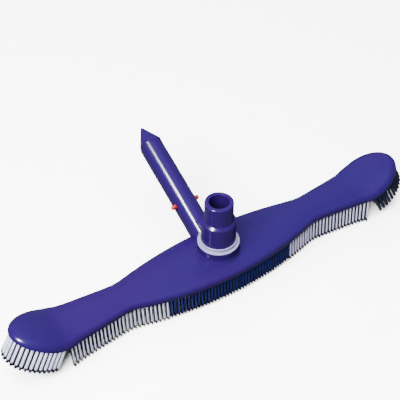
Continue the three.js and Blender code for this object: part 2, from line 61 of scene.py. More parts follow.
BAND_DEPTH = 7.1 * MM
RIM_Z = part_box("top_shell")[0].z + BAND_DEPTH
BODY_HALF_WIDTH = 40.1 * MM
WALL = 2.4 * MM
CROWN_HEIGHT = 7 * MM
RIM_RISE = 2.9 * MM
EDGE_FILLET = 3 * MM
PADDLE_FILLET = 6 * MM
WAIST_X = 129.1 * MM
WAIST_HALF_WIDTH = 20 * MM
WAIST_ROUNDING = 3 * MM
BEND_X = 213.7 * MM
BEND_ROUNDING = 8 * MM
NECK_END_HALF_WIDTH = 29.8 * MM
PADDLE_HALF_WIDTH = 33 * MM
PADDLE_HALF_LENGTH = 46.2 * MM
PADDLE_TILT = math.radians(26)
PADDLE_REACH = 9.6 * MM
PADDLE_ROUNDING = 1 * MM

BOSS_RADIUS = 24.5 * MM
BOSS_TOP = 17.6 * MM
ABOVE_BOSS = 30 * MM
BOSS_BORE = 19.6 * MM
COUNTERBORE_RADIUS = 22 * MM
COUNTERBORE_FLOOR = 11.9 * MM
SPIGOT_TOP = CONNECTOR_HIGH.z - RIM_Z
LARGE_SPIGOT = 20.4 * MM
SMALL_SPIGOT = 16.9 * MM
SPIGOT_BORE = 11.8 * MM
FLANGE_RADIUS = 21.6 * MM
RING_RADIUS = 24.8 * MM

HANDLE_ANGLE = math.radians(26.1)
HANDLE_HEIGHT = 3.3 * MM
HANDLE_RADIUS = 14 * MM
HANDLE_DEPTH = 21.5 * MM
HANDLE_WALL = 2.8 * MM
HANDLE_ROOT = 18 * MM
HANDLE_ROOT_END = 36 * MM
NOSE_START = 157.7 * MM
NOSE_END = 183 * MM
NOSE_RADIUS = 14.2 * MM
PIN_AT = 130.2 * MM
PIN_RADIUS = 3 * MM
BUTTON_AT = 73 * MM
BUTTON_DEPTH = 13.8 * MM

PLATE_BOTTOM = -6.6 * MM
SKIRT_CHANGE_X = 85.9 * MM
SKIRT_END_X = BEND_X - 3.5 * MM
BLUE_SKIRT_LIFT = 2 * MM
PADDLE_BRISTLE_DEPTH = 39.5 * MM
CORE_LIFT = 1 * MM


# ---- Mesh helpers ----------------------------------------------------------------------
def link(name, mesh):
    piece = bpy.data.objects.new(name, mesh)
    bpy.context.scene.collection.objects.link(piece)
    return piece


def mesh_from(name, vertices, faces):
    mesh = bpy.data.meshes.new(name)
    mesh.from_pydata([tuple(v) for v in vertices], [], faces)
    clean(mesh)
    return mesh


def clean(mesh, sharp=math.radians(38)):
    """Welds the mesh, points its faces out, and shades it smooth up to a sharp edge angle."""
    bm = bmesh.new()
    bm.from_mesh(mesh)
    bmesh.ops.remove_doubles(bm, verts=bm.verts, dist=1e-6)
    bmesh.ops.dissolve_degenerate(bm, edges=bm.edges, dist=1e-7)
    bmesh.ops.recalc_face_normals(bm, faces=bm.faces)
    for face in bm.faces:
        face.smooth = True
    for edge in bm.edges:
        edge.smooth = len(edge.link_faces) == 2 and edge.calc_face_angle(0) < sharp
    bm.to_mesh(mesh)
    bm.free()


def skin(rings, capped=True):
    """Quads between rings of points that close on themselves, with flat ends."""
    count = len(rings[0])
    vertices = [point for ring in rings for point in ring]
    faces = []
    for r in range(len(rings) - 1):
        for i in range(count):
            j = (i + 1) % count
            start, end = r * count, (r + 1) * count
            faces.append((start + i, start + j, end + j, end + i))
    if capped:
        last = (len(rings) - 1) * count
        faces.append(tuple(reversed(range(count))))
        faces.append(tuple(last + i for i in range(count)))
    return vertices, faces


def lathe(name, profile, segments=96):
    """A turned solid on the Z axis. The profile's (radius, height) points close on themselves."""
    rings = []
    for i in range(segments + 1):
        angle = 2 * math.pi * i / segments
        rings.append([Vector((r * math.cos(angle), r * math.sin(angle), z)) for r, z in profile])
    return mesh_from(name, *skin(rings, capped=False))


def rounded(profile, radii, steps=5):
    """Replaces each corner of a closed profile by an arc-like curve of the given size."""
    result = []
    count = len(profile)
    for i, corner in enumerate(profile):
        here = Vector(corner)
        back = Vector(profile[i - 1]) - here
        ahead = Vector(profile[(i + 1) % count]) - here
        size = min(radii[i], back.length * 0.45, ahead.length * 0.45)
        if size < 1e-6:
            result.append(tuple(here))
            continue
        start = here + back.normalized() * size
        end = here + ahead.normalized() * size
        for k in range(steps + 1):
            t = k / steps
            point = start * (1 - t) ** 2 + here * 2 * t * (1 - t) + end * t ** 2
            result.append(tuple(point))
    return result


def boolean(target, tool_mesh, operation):
    """Joins or cuts the target object with a mesh that is then thrown away."""
    tool = link("tool", tool_mesh)
    modifier = target.modifiers.new("boolean", "BOOLEAN")
    modifier.operation = operation
    modifier.solver = "EXACT"
    modifier.object = tool
    apply_modifiers(target)
    bpy.data.objects.remove(tool)


def apply_modifiers(piece):
    graph = bpy.context.evaluated_depsgraph_get()
    mesh = bpy.data.meshes.new_from_object(piece.evaluated_get(graph))
    piece.modifiers.clear()
    piece.data = mesh


def finish_piece(piece, material, body, slot, *nodes):
    piece.data.materials.clear()
    piece.data.materials.append(material)
    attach(piece, body)
    if nodes:
        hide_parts(*nodes)
    return piece


# ---- Materials ---------------------------------------------------------------------------
def new_material(name):
    material = bpy.data.materials.new(name)
    material.use_nodes = True
    nodes = material.node_tree.nodes
    return material, nodes, material.node_tree.links, nodes["Principled BSDF"]


def noise(nodes, links, vector, scale, detail=3.0, roughness=0.55):
    node = nodes.new("ShaderNodeTexNoise")
    node.inputs["Scale"].default_value = scale
    node.inputs["Detail"].default_value = detail
    node.inputs["Roughness"].default_value = roughness
    links.new(vector, node.inputs["Vector"])
    return node


def ramp(nodes, links, value, stops):
    node = nodes.new("ShaderNodeValToRGB")
    node.color_ramp.elements[0].position = stops[0][0]
    node.color_ramp.elements[0].color = (*stops[0][1], 1)
    node.color_ramp.elements[1].position = stops[-1][0]
    node.color_ramp.elements[1].color = (*stops[-1][1], 1)
    for position, colour in stops[1:-1]:
        node.color_ramp.elements.new(position).color = (*colour, 1)
    links.new(value, node.inputs["Fac"])
    return node


def spread(nodes, links, value, low, high):
    node = nodes.new("ShaderNodeMapRange")
    node.inputs["To Min"].default_value = low
    node.inputs["To Max"].default_value = high
    links.new(value, node.inputs["Value"])
    return node


def moulded_plastic(name, shades, roughness, orange_peel=0.05, peel_scale=900, gloss=0.5):
    """Injection-moulded plastic: slow drifts of the pigment, and a fine skin texture."""
    material, nodes, links, shader = new_material(name)
    place = nodes.new("ShaderNodeTexCoord").outputs["Object"]
    flow = noise(nodes, links, place, 8, 2, 0.45)
    colour = ramp(nodes, links, flow.outputs["Fac"], [(0.38, shades[0]), (0.62, shades[1])])
    links.new(colour.outputs["Color"], shader.inputs["Base Color"])
    scuffs = noise(nodes, links, place, 55, 6, 0.7)
    rough = spread(nodes, links, scuffs.outputs["Fac"], roughness - 0.05, roughness + 0.07)
    links.new(rough.outputs["Result"], shader.inputs["Roughness"])
    peel = noise(nodes, links, place, peel_scale, 2)
    bump = nodes.new("ShaderNodeBump")
    bump.inputs["Strength"].default_value = orange_peel
    bump.inputs["Distance"].default_value = 0.2 * MM
    links.new(peel.outputs["Fac"], bump.inputs["Height"])
    links.new(bump.outputs["Normal"], shader.inputs["Normal"])
    shader.inputs["IOR"].default_value = 1.5
    shader.inputs["Specular IOR Level"].default_value = gloss
    return material


def bristle_material(name, root, middle, tip, roughness=0.4):
    """Filaments: a tone that differs at random from one to the next, and painted shade: a darker
    inner row, darker roots under the body, and near black tips by the floor.
    """
    material, nodes, links, shader = new_material(name)
    along = nodes.new("ShaderNodeAttribute")
    along.attribute_name = "along"
    # painted shade along each filament: darker at the root under the body, near black at the tip
    colour = ramp(nodes, links, along.outputs["Fac"], [
        (0.0, root), (0.15, middle), (0.82, middle), (0.87, tip)])
    island = nodes.new("ShaderNodeNewGeometry")
    drift = spread(nodes, links, island.outputs["Random Per Island"], 0.85, 1.08)
    # the shade attribute is painted shade for a whole row: 1 leaves the outer row as it is, and the
    # inner row is made near black
    shade = nodes.new("ShaderNodeAttribute")
    shade.attribute_name = "shade"
    tone_and_painted_shade = nodes.new("ShaderNodeMath")
    tone_and_painted_shade.operation = "MULTIPLY"
    links.new(drift.outputs["Result"], tone_and_painted_shade.inputs[0])
    links.new(shade.outputs["Fac"], tone_and_painted_shade.inputs[1])
    mix = nodes.new("ShaderNodeVectorMath")
    mix.operation = "SCALE"
    links.new(colour.outputs["Color"], mix.inputs[0])
    links.new(tone_and_painted_shade.outputs["Value"], mix.inputs["Scale"])
    links.new(mix.outputs["Vector"], shader.inputs["Base Color"])
    shader.inputs["Roughness"].default_value = roughness
    shader.inputs["IOR"].default_value = 1.5
    shader.inputs["Specular IOR Level"].default_value = 0.25
    return material


def brushed_steel():
    material, nodes, links, shader = new_material("stainless_steel")
    place = nodes.new("ShaderNodeTexCoord").outputs["Object"]
    grain = noise(nodes, links, place, 2500, 2)
    colour = ramp(nodes, links, grain.outputs["Fac"], [
        (0.3, (0.52, 0.53, 0.55)), (0.7, (0.68, 0.68, 0.7))])
    links.new(colour.outputs["Color"], shader.inputs["Base Color"])
    rough = spread(nodes, links, grain.outputs["Fac"], 0.22, 0.4)
    links.new(rough.outputs["Result"], shader.inputs["Roughness"])
    shader.inputs["Metallic"].default_value = 1
    return material


BODY_BLUE = moulded_plastic(
    "body_blue", [(0.0060, 0.0014, 0.0270), (0.0052, 0.0018, 0.0275)], 0.19, gloss=0.25)
PLATE_BLUE = moulded_plastic(
    "plate_blue", [(0.012, 0.018, 0.1), (0.016, 0.024, 0.12)], 0.42, 0.12, 500)
RING_WHITE = moulded_plastic("ring_white", [(0.105, 0.095, 0.18), (0.125, 0.112, 0.2)], 0.3)
CLIP_RED = moulded_plastic(
    "clip_red", [(0.10, 0.002, 0.003), (0.13, 0.003, 0.004)], 0.34, 0.08, 700)
SEAL_BLACK = moulded_plastic(
    "seal_rubber", [(0.01, 0.01, 0.011), (0.018, 0.018, 0.019)], 0.6, 0.2, 1200)
STEEL = brushed_steel()
# the root and tip colours are painted shade: darker roots under the body, near black tips by the
# floor
WHITE_BRISTLE = bristle_material(
    "white_bristle", (0.16, 0.155, 0.24), (0.29, 0.28, 0.39), (0.003, 0.003, 0.007))
BLUE_BRISTLE = bristle_material(
    "blue_bristle", (0.001, 0.002, 0.012), (0.005, 0.007, 0.048), (0.001, 0.001, 0.004))
# painted shade: a near black copy of the bristle colours for the right paddle's end
PAINTED_SHADE_BRISTLE = bristle_material(
    "navy_bristle", (0.003, 0.004, 0.01), (0.005, 0.007, 0.018), (0.002, 0.002, 0.005))


# ---- Outline of the body -------------------------------------------------------------------
TAN_TILT = math.tan(PADDLE_TILT)
COS_TILT = math.cos(PADDLE_TILT)
SAGITTA = BODY_HALF_WIDTH - WAIST_HALF_WIDTH
BULGE_RADIUS = (WAIST_X ** 2 + SAGITTA ** 2) / (2 * SAGITTA)
PADDLE_X = BEND_X + PADDLE_REACH * COS_TILT


def soft_max(a, b, rounding):
    return (a + b + math.hypot(a - b, rounding)) / 2


def rim_height(x):
    past = x - BEND_X
    rise = RIM_RISE * min(1, (x / WAIST_X) ** 2)
    return rise + TAN_TILT * (past + math.hypot(past, BEND_ROUNDING)) / 2


def rim_tilt(x):
    past = x - BEND_X
    return math.atan(TAN_TILT * (1 + past / math.hypot(past, BEND_ROUNDING)) / 2)


def half_width(x, inset=0.0):
    neck_slope = (NECK_END_HALF_WIDTH - WAIST_HALF_WIDTH) / (BEND_X - WAIST_X)
    neck = WAIST_HALF_WIDTH + (x - WAIST_X) * neck_slope - inset
    if x < (WAIST_X + BEND_X) / 2:
        bulge = BODY_HALF_WIDTH - BULGE_RADIUS + math.sqrt(BULGE_RADIUS ** 2 - x ** 2)
        return soft_max(bulge - inset, neck, WAIST_ROUNDING)
    past = (x - PADDLE_X) / COS_TILT
    share = past / (PADDLE_HALF_LENGTH - inset)
    paddle = (PADDLE_HALF_WIDTH - inset) * math.sqrt(max(0, 1 - share ** 2))
    rounding = PADDLE_ROUNDING * min(1, -past / PADDLE_REACH)
    return soft_max(neck, paddle, rounding) if past < 0 else paddle


def body_point(x, y, n):
    """A point of the body: y from its middle line, n up from the rim and square to it."""
    tilt = rim_tilt(abs(x))
    across = abs(x) - n * math.sin(tilt)
    up = RIM_Z + rim_height(abs(x)) + n * math.cos(tilt)
    return Vector((math.copysign(across, x), HOSE_Y + y, up))


def stations(inset, step=2.6 * MM, arc_steps=26):
    """Distances from the middle of the body to a paddle's end, as many for any inset."""
    count = round(PADDLE_X / step)
    straight = [PADDLE_X * i / count for i in range(count + 1)]
    reach = (PADDLE_HALF_LENGTH - inset) * COS_TILT
    turns = [math.pi / 2 * i / arc_steps for i in range(1, arc_steps + 1)]
    return straight + [PADDLE_X + reach * math.sin(turn) for turn in turns]


def crown(x, y, inset):
    """Height of the domed top above the rim."""
    past = (x - PADDLE_X) / COS_TILT
    if past > 0:
        width = PADDLE_HALF_WIDTH - inset
        share = min(1, math.hypot(past / (PADDLE_HALF_LENGTH - inset), y / width))
    else:
        width = half_width(x, inset)
        share = abs(y) / width
    height = CROWN_HEIGHT * (width / BODY_HALF_WIDTH) ** 0.7
    return height * (1 - share ** 2.2), width * (1 - share)


def top_line(x, inset, drop, fillet, steps):
    """The top of a section from its right edge to its left, with the edges rounded over."""
    width = half_width(x, inset)
    points = []
    for i in range(steps + 1):
        y = width * math.cos(math.pi * i / steps)
        height, from_edge = crown(x, y, inset)
        into = max(0, fillet - from_edge)
        points.append((y, height - drop - fillet + math.sqrt(max(0, fillet ** 2 - into ** 2))))
    return points


def outer_line(x, inset, low):
    """The outside of a section, from the foot of the right side over the top to the left."""
    width = half_width(x, inset)
    share = min(1, max(0, (x - WAIST_X) / (PADDLE_X - WAIST_X)))
    fillet = EDGE_FILLET + (PADDLE_FILLET - EDGE_FILLET) * share ** 2
    chamfer = min(0.5 * MM, width * 0.3)
    side = [
        (width - chamfer, low), (width - chamfer * 0.3, low + 0.15 * MM), (width, low + 0.6 * MM)]
    left = [(-y, n) for y, n in reversed(side)]
    return side + top_line(x, inset, 0, fillet, 36) + left


def inner_line(x, inset, low):
    width = half_width(x, inset)
    return [(-width, low), *reversed(top_line(x, inset, WALL, 0.8 * MM, 20)), (width, low)]


def along_body(rings_for):
    """Rings for every station from the left paddle's end to the right one's."""
    count = len(stations(0))
    rings = []
    for i in list(range(count - 1, 0, -1)) + list(range(count)):
        rings.append(rings_for(i, -1 if len(rings) < count - 1 else 1))
    return rings


def body_block(inset, low):
    """The solid outline of the body, to cut other pieces with."""
    xs = stations(inset)
    rings = along_body(lambda i, side: [
        body_point(side * xs[i], y, n) for y, n in outer_line(xs[i], inset, low)])
    return mesh_from("body_block", *skin(rings))


def at_hose(mesh):
    mesh.transform(Matrix.Translation((0, HOSE_Y, RIM_Z)))
    return mesh


def turned_block(name, radius, low, high):
    return at_hose(lathe(name, [(0, low), (radius, low), (radius, high), (0, high)]))


def boss_block(gap=0.0):
    """The boss round the hose bore, with a small flare where it meets the domed top."""
    profile = [
        (0, 2), (27.4, 2), (27.2, 4), (26, 6.2), (24.7, 8.2), (BOSS_RADIUS / MM, 12),
        (BOSS_RADIUS / MM, BOSS_TOP / MM), (0, BOSS_TOP / MM)]
    radii = [0, 0, 0.5, 1.2, 1.2, 1, 0.5, 0]
    profile = [(r * MM + (gap if r else 0), z * MM) for r, z in profile]
    return at_hose(lathe("boss", rounded(profile, [r * MM for r in radii])))


def build_shell():
    outer, inner = stations(0), stations(WALL)

    def ring(i, side):
        lines = ((outer[i], outer_line(outer[i], 0, -BAND_DEPTH)),
                 (inner[i], inner_line(inner[i], WALL, -BAND_DEPTH)))
        return [body_point(side * x, y, n) for x, line in lines for y, n in line]

    shell = link("body_shell", mesh_from("body_shell", *skin(along_body(ring), capped=False)))
    boolean(shell, boss_block(), "UNION")
    bore = turned_block("bore", BOSS_BORE, -9 * MM, ABOVE_BOSS)
    boolean(shell, bore, "DIFFERENCE")
    counterbore = turned_block("counterbore", COUNTERBORE_RADIUS, COUNTERBORE_FLOOR, ABOVE_BOSS)
    boolean(shell, counterbore, "DIFFERENCE")
    clean(shell.data)
    return finish_piece(shell, BODY_BLUE, "head", "body_blue", "top_shell")


# ---- Pole handle ---------------------------------------------------------------------------
TO_HANDLE = (Matrix.Translation((0, HOSE_Y, RIM_Z + HANDLE_HEIGHT))
             @ Matrix.Rotation(HANDLE_ANGLE, 4, "X"))


def arch(radius, depth, steps=36, lip=0.9 * MM):
    """Half round top with straight sides and rounded lower corners, as (x, z) pairs."""
    foot = [
        (radius - lip, -depth), (radius - lip * 0.3, -depth + lip * 0.3), (radius, -depth + lip)]
    points = list(foot)
    for i in range(steps + 1):
        angle = math.pi * i / steps
        points.append((radius * math.cos(angle), radius * math.sin(angle) - HANDLE_RADIUS))
    return points + [(-x, z) for x, z in reversed(foot)]


def prism(name, sections):
    """A solid through (distance along the handle, outline) pairs, in the handle's own frame."""
    rings = [[Vector((x, t, z)) for x, z in reversed(outline)] for t, outline in sections]
    return mesh_from(name, *skin(rings))


def in_handle(mesh):
    mesh.transform(TO_HANDLE)
    return mesh


def stop_sections():
    """The rib that the pole comes to rest on: it climbs towards the hose boss."""
    climb = ((18, 3.2), (26, 3.1), (32, 2.7), (38, 1.9), (42, 1.3), (42.8, 1), (43.2, 0.3))
    sections = []
    for t, raised in climb:
        half = [(7, -8), (7, raised - 2.4), (6.6, raised - 1.3), (5.6, raised - 0.6),
                (4, raised - 0.25)]
        outline = half + [(0, raised)] + [(-x, z) for x, z in reversed(half)]
        sections.append((t * MM, [(x * MM, z * MM) for x, z in outline]))
    return sections


def nose_mesh():
    tip = 1.2 * MM
    profile = [
        (0, NOSE_START), (NOSE_RADIUS, NOSE_START), (NOSE_RADIUS, NOSE_START + 2.4 * MM),
        (tip, NOSE_END), (0, NOSE_END)]
    mesh = lathe("nose", rounded(profile, [0, 0.7 * MM, 1.4 * MM, 1.1 * MM, 0]))
    lay_down = Matrix.Rotation(-math.pi / 2, 4, "X")
    mesh.transform(Matrix.Translation((0, 0, -HANDLE_RADIUS)) @ lay_down)
    return mesh


def slot_mesh():
    """A slot through both walls for the buttons."""
    radius, swing = 3.5 * MM, 2 * MM
    outline = []
    for i in range(24):
        angle = 2 * math.pi * i / 24
        shift = 0 if math.sin(angle) >= 0 else -swing
        outline.append((BUTTON_AT + shift + radius * math.sin(angle),
                        -BUTTON_DEPTH + radius * math.cos(angle)))
    reach = HANDLE_RADIUS + 2 * MM
    rings = [[Vector((x, y, z)) for y, z in outline] for x in (-reach, reach)]
    return mesh_from("slot", *skin(rings))


def peg_mesh():
    """The locating peg under the channel, drawn in towards its foot."""
    levels = (
        (-28.4, 1.7, 81.2, 84.9), (-27.8, 2.2, 80.7, 85.4), (-20, 2.5, 80, 86), (-2, 2.5, 80, 86))
    rings = []
    for z, half_x, start, end in levels:
        corners = ((-half_x, start), (half_x, start), (half_x, end), (-half_x, end))
        rings.append([Vector((x * MM, y * MM, z * MM)) for x, y in corners])
    return mesh_from("peg", *skin(rings))


def build_handle():
    ends = [(t, arch(HANDLE_RADIUS, HANDLE_DEPTH)) for t in (HANDLE_ROOT, NOSE_START)]
    handle = link("pole_handle_moulding", in_handle(prism("handle", ends)))
    boolean(handle, in_handle(prism("stop", stop_sections())), "UNION")
    bore = HANDLE_RADIUS - HANDLE_WALL
    channel_ends = (HANDLE_ROOT_END, NOSE_START - HANDLE_WALL)
    inside = [(t, arch(bore, HANDLE_DEPTH + 5 * MM)) for t in channel_ends]
    boolean(handle, in_handle(prism("channel", inside)), "DIFFERENCE")
    boolean(handle, in_handle(nose_mesh()), "UNION")
    boolean(handle, in_handle(peg_mesh()), "UNION")
    foot, top = -18.4 * MM, -2 * MM
    pin = lathe("pin", [(0, foot), (PIN_RADIUS, foot), (PIN_RADIUS, top), (0, top)], 32)
    pin.transform(Matrix.Translation((0, PIN_AT, 0)))
    boolean(handle, in_handle(pin), "UNION")
    boolean(handle, in_handle(slot_mesh()), "DIFFERENCE")
    boolean(handle, body_block(-0.05 * MM, -20 * MM), "DIFFERENCE")
    boolean(handle, boss_block(0.05 * MM), "DIFFERENCE")
    ring_room = turned_block("ring_room", RING_RADIUS + 0.15 * MM, -20 * MM, 50 * MM)
    boolean(handle, ring_room, "DIFFERENCE")
    clean(handle.data)
    return finish_piece(handle, BODY_BLUE, "head", "body_blue", "pole_handle")


# ---- Hose connector and its ring ------------------------------------------------------------
def build_connector():
    profile = [
        (SPIGOT_BORE, 48), (SPIGOT_BORE, SPIGOT_TOP / MM), (SMALL_SPIGOT, SPIGOT_TOP / MM),
        (SMALL_SPIGOT, 54.2), (LARGE_SPIGOT, 51.3), (LARGE_SPIGOT, 16), (FLANGE_RADIUS, 16),
        (FLANGE_RADIUS, 13.1), (18.9 * MM, 13.1), (18.9 * MM, 9), (16.8 * MM, 9), (16.8 * MM, 6),
        (18.9 * MM, 6), (18.9 * MM, 1.5), (14.6 * MM, 1.5), (14.6 * MM, 44)]
    points = [(r, z * MM) for r, z in profile]
    radii = [0, 0.7, 2, 0.5, 1, 0.2, 0.3, 0.3, 0.2, 0.1, 0.1, 0.1, 0.1, 0.5, 0.5, 0]
    mesh = at_hose(lathe("hose_spigot", rounded(points, [r * MM for r in radii], 7), 128))
    spigot = link("hose_spigot", mesh)
    return finish_piece(spigot, BODY_BLUE, "connector", "body_blue", "hose_connector")


def build_ring():
    """The retaining ring: a bead at the top, a hollow below it, and a lip over the boss."""
    profile = [
        (20.8, 16.4), (20.8, 24.4), (22.4, 24.4), (22.4, 23.4), (21.4, 22.8), (21.4, 18.7),
        (23.9, 18.5), (24.1, 19.7), (24.8, 19.7), (24.8, 17.9), (21.7, 17.9), (21.7, 16.4)]
    radii = [0.2, 0.5, 0.7, 0.3, 0.3, 0.6, 0.3, 0.3, 0.4, 0.5, 0.1, 0.2]
    points = rounded([(r * MM, z * MM) for r, z in profile], [r * MM for r in radii])
    mesh = at_hose(lathe("collar_ring", points, 128))
    collar = link("collar_ring", mesh)
    return finish_piece(collar, RING_WHITE, "head", "white_plastic", "retaining_ring")


# ---- Clip and screws -----------------------------------------------------------------------
def softened(name, node, width, segments=3):
    """A CAD node's shape with its flat faces merged and its edges rounded."""
    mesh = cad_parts[node].data.copy()
    bm = bmesh.new()
    bm.from_mesh(mesh)
    bmesh.ops.remove_doubles(bm, verts=bm.verts, dist=1e-6)
    bmesh.ops.dissolve_limit(bm, angle_limit=math.radians(2), verts=bm.verts, edges=bm.edges)
    bm.to_mesh(mesh)
    bm.free()
    piece = link(name, mesh)
    bevel = piece.modifiers.new("edges", "BEVEL")
    bevel.width = width
    bevel.segments = segments
    bevel.limit_method = "ANGLE"
    bevel.angle_limit = math.radians(40)
    apply_modifiers(piece)
    clean(piece.data)
    return piece


def build_clip():
    for side, _ in SIDES:
        leg = softened(f"clip_arm_{side}", f"clip_leg_{side}", 0.45 * MM)
        finish_piece(leg, CLIP_RED, f"clip_{side}", "clip_red", f"clip_leg_{side}")
    root = softened("clip_bow", "clip_root", 0.5 * MM)
    finish_piece(root, CLIP_RED, "head", "clip_red", "clip_root")


SCREW_HEAD = 1.6
SHORT_SCREW = 7.5
HANDLE_SCREW = 8.5


def screw_mesh(length):
    """A pan-head screw with a cross recess, standing on its head. Its length is in mm."""
    top = SCREW_HEAD + length
    profile = [(0, 0), (3.2, 0), (3.2, SCREW_HEAD), (1.4, SCREW_HEAD), (1.4, top), (0, top)]
    radii = [r * MM for r in (0, 0.9, 0.1, 0.1, 0.5, 0)]
    points = rounded([(r * MM, z * MM) for r, z in profile], radii)
    screw = link("screw", lathe("screw", points, 32))
    for wide, deep in ((0.45, 1.9), (1.9, 0.45)):
        rings = [[Vector((sx * wide * s * MM, sy * deep * s * MM, z * MM)) for sx, sy in
                  ((-1, -1), (1, -1), (1, 1), (-1, 1))] for z, s in ((-0.5, 1.1), (1.0, 0.75))]
        boolean(screw, mesh_from("recess", *skin(rings)), "DIFFERENCE")
    clean(screw.data)
    mesh = screw.data
    bpy.data.objects.remove(screw)
    return mesh


def build_screws():
    """Screw nodes are named for where they sit. An end screw leans with the bend of the neck."""
    meshes = {length: screw_mesh(length) for length in (SHORT_SCREW, HANDLE_SCREW)}
    for node in sorted(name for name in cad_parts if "screw" in name):
        low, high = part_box(node)
        middle = (low + high) / 2
        length = HANDLE_SCREW if node.startswith("handle") else SHORT_SCREW
        lean = -math.copysign(rim_tilt(abs(middle.x)), middle.x)
        turn = Matrix.Rotation(lean, 4, "Y")
        foot = middle - turn @ Vector((0, 0, (SCREW_HEAD + length) / 2 * MM))
        piece = link(f"pan_{node}", meshes[length].copy())
        piece.data.transform(Matrix.Translation(foot) @ turn)
        finish_piece(piece, STEEL, "head", "screw_steel", node)


# ---- Bristles ------------------------------------------------------------------------------
# A filament's radius, and how a tuft draws in at its root and opens at its tip, as shares of
# the filaments' spacing
FILAMENT_RADIUS = 0.58
ROOT_SPREAD = 0.95
TIP_SPREAD = 1.04
HEX_PLACES = [(0, 0)] + [
    (ring * math.cos(math.pi * i / (3 * ring)), ring * math.sin(math.pi * i / (3 * ring)))
    for ring in (1, 2) for i in range(6 * ring)]


class Brush:
    """Collects tufts of filaments into one mesh."""

    SIDES = 5
    LEVELS = ((0.0, 1.0), (0.5, 1.0), (0.86, 1.0), (0.92, 1.0), (0.98, 0.95), (1.0, 0.5))

    def __init__(self, name, seed):
        self.name = name
        self.random = random.Random(seed)
        self.vertices = []
        self.faces = []
        self.along = []
        # painted shade of each point's row
        self.shade = []

    def filament(self, root, tip, radius, shade):
        axis = (tip - root).normalized()
        side = axis.orthogonal().normalized()
        other = axis.cross(side)
        bow = side * self.random.gauss(0, 0.05 * MM) + other * self.random.gauss(0, 0.05 * MM)
        first = len(self.vertices)
        for share, width in self.LEVELS:
            centre = root.lerp(tip, share) + bow * math.sin(math.pi * share)
            for k in range(self.SIDES):
                angle = 2 * math.pi * k / self.SIDES
                spoke = side * math.cos(angle) + other * math.sin(angle)
                self.vertices.append(centre + spoke * radius * width)
                self.along.append(share)
                self.shade.append(shade)
        for level in range(len(self.LEVELS) - 1):
            a = first + level * self.SIDES
            for k in range(self.SIDES):
                j = (k + 1) % self.SIDES
                self.faces.append((a + k, a + j, a + self.SIDES + j, a + self.SIDES + k))
        end = first + (len(self.LEVELS) - 1) * self.SIDES
        self.faces.append(tuple(end + k for k in range(self.SIDES)))
        self.faces.append(tuple(first + k for k in reversed(range(self.SIDES))))

    def tuft(self, root, tip, pitch, shade=1.0):
        """One round bundle of filaments. The outer ones stop short, so its tip is domed."""
        axis = (tip - root).normalized()
        side = Vector((1, 0, 0)) - axis * axis.x
        side.normalize()
        other = axis.cross(side)
        twist = self.random.uniform(0, math.pi / 3)
        lean = side * self.random.gauss(0, 0.06 * MM) + other * self.random.gauss(0, 0.06 * MM)
        for x, y in HEX_PLACES:
            u = x * math.cos(twist) - y * math.sin(twist)
            v = x * math.sin(twist) + y * math.cos(twist)
            place = (side * u + other * v) * pitch
            short = axis * (0.22 * MM * (u * u + v * v) + self.random.uniform(0, 0.25 * MM))
            end = tip + place * TIP_SPREAD + lean - short
            self.filament(root + place * ROOT_SPREAD, end, pitch * FILAMENT_RADIUS, shade)

    def build(self, material, slot, node):
        mesh = bpy.data.meshes.new(self.name)
        mesh.from_pydata([tuple(v) for v in self.vertices], [], self.faces)
        mesh.shade_smooth()
        for label, values in (("along", self.along), ("shade", self.shade)):
            mesh.attributes.new(label, "FLOAT", "POINT").data.foreach_set("value", values)
        return finish_piece(link(self.name, mesh), material, "head", slot, node)


def evenly_along(points, pitch):
    """Places at near even steps along a chain of points, both of its ends included."""
    lengths = [math.dist(a, b) for a, b in zip(points, points[1:])]
    count = max(1, round(sum(lengths) / pitch))
    step = sum(lengths) / count
    places = [points[0]]
    due = step
    for start, end, length in zip(points, points[1:], lengths):
        while due <= length and len(places) < count:
            places.append(tuple(a + (b - a) * due / length for a, b in zip(start, end)))
            due += step
        due -= length
    return places + [points[-1]]


def edge_chain(start, end, inset):
    """The outline of the body between two stations, drawn in by the inset."""
    count = math.ceil((end - start) / MM)
    xs = [start + (end - start) * i / count for i in range(count + 1)]
    return [(x, half_width(x, inset)) for x in xs]


# Each row of tufts: how far in its roots and its tips stand, its stagger, its shade, and the
# spacing of its filaments. The shade is painted shade: the inner row is near black, standing in
# for the shadow seen through the gaps of the outer row.
ROWS = ((4.6 * MM, 1.9 * MM, 0.0, 1.0, 0.36 * MM), (7.3 * MM, 4.6 * MM, -0.2 * MM, 0.04, 0.52 * MM))
WHITE_PITCH = 5 * MM
BLUE_PITCH = 4.3 * MM


def skirt(name, node, seed, edge, chain_for, pitch, tip_z, material, slot):
    """Rows of tufts along one long edge. They lean out a little and are cut level at tip_z."""
    brush = Brush(name, seed)
    for root_inset, tip_inset, stagger, shade, size in ROWS:
        for x, _ in evenly_along(chain_for(root_inset), pitch):
            at = x - edge * stagger
            root = body_point(at, edge * half_width(abs(at), root_inset), PLATE_BOTTOM)
            tip_y = HOSE_Y + edge * half_width(abs(at), tip_inset)
            brush.tuft(root, Vector((at, tip_y, tip_z)), size, shade)
    brush.build(material, slot, node)


